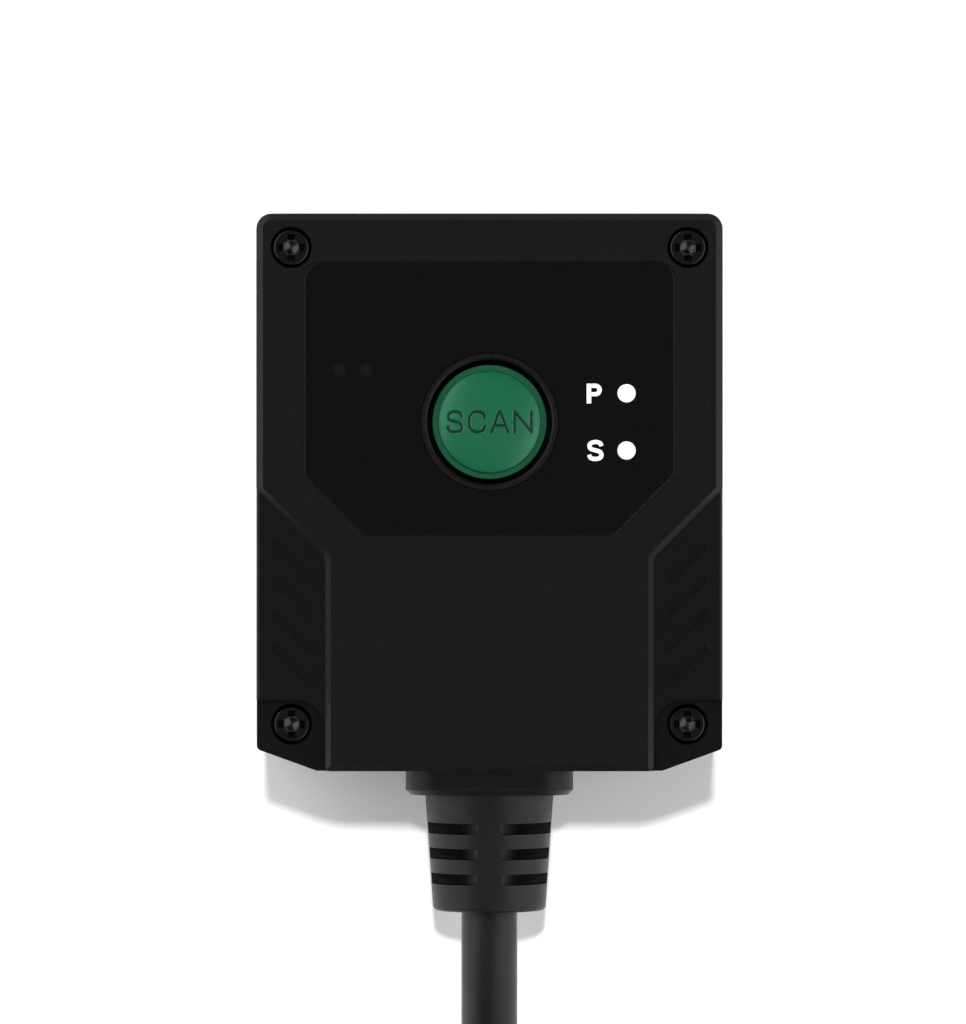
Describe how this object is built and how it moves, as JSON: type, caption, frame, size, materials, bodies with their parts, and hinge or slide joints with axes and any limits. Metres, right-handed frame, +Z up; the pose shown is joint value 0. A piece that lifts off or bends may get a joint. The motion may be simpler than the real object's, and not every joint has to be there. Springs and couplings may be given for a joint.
{
  "type": "fixed barcode reader",
  "caption": "Small black block-shaped fixed barcode reader with a front scan window, a green push button on top, indicator windows, a moulded strain relief and a USB cable.",
  "frame": {"origin": "middle of the housing's underside", "axes": "+Y the way the scan window faces, +Z up out of the button, cable leaves along -Y"},
  "size_m": [0.0715, 0.1606, 0.025],
  "materials": {
    "housing_plastic": "fine moulded texture, matte black",
    "label_film": "smooth satin black film",
    "button_plastic": "satin green",
    "seal_rubber": "matte black",
    "component_black": "matte black",
    "bright_steel": "plain bright steel",
    "plug_steel": "nickel-plated sheet",
    "screw_steel": "blackened steel",
    "clear_guide": "milky clear plastic",
    "optic_glass": "clear coated glass",
    "window_pane": "dark red clear pane",
    "lamp_resin": "ivory resin",
    "circuit_board": "green solder mask",
    "connector_nylon": "ivory nylon",
    "wire_sleeve": "red insulation",
    "flex_film": "amber film",
    "insert_brass": "turned brass",
    "contact_gold": "gold-plated",
    "cable_jacket": "satin black jacket",
    "relief_rubber": "moulded satin black",
    "tie_strap": "matte black strap",
    "tongue_plastic": "white insulator"
  },
  "bodies": {
    "housing": {"base_housing": "housing_plastic", "top_cover": "housing_plastic", "label_overlay": "label_film", "housing_gasket": "seal_rubber", "window_seal": "seal_rubber", "sound_membrane": "seal_rubber", "beeper": "component_black", "processor_chip": "component_black", "image_sensor": "component_black", "engine_frame": "component_black", "lens_barrel": "component_black", "switch_housing": "bright_steel", "board_screws": "bright_steel", "engine_screws": "bright_steel", "relief_clip": "bright_steel", "usb_shell": "plug_steel", "cover_screws": "screw_steel", "light_pipe": "clear_guide", "lens_glass": "optic_glass", "aimer_lenses": "optic_glass", "scan_window": "window_pane", "indicator_leds": "lamp_resin", "illumination_leds": "lamp_resin", "main_board": "circuit_board", "engine_board": "circuit_board", "board_header": "connector_nylon", "harness_plug": "connector_nylon", "flex_sockets": "connector_nylon", "harness_wires": "wire_sleeve", "engine_flex": "flex_film", "cover_inserts": "insert_brass", "mount_inserts": "insert_brass", "usb_contacts": "contact_gold", "cable_lead": "cable_jacket", "cable_coil": "cable_jacket", "cable_tail": "cable_jacket", "strain_relief": "relief_rubber", "usb_grip": "relief_rubber", "coil_tie": "tie_strap", "usb_tongue": "tongue_plastic"},
    "button": {"scan_button": "button_plastic", "switch_plunger": "component_black"}
  },
  "joints": [
    {"name": "scan_press", "type": "slide", "parent": "housing", "child": "button", "axis": [0, 0, -1], "range_m": [0, 0.0005], "stiffness_N_per_m": 400, "springref_m": -0.004}
  ]
}
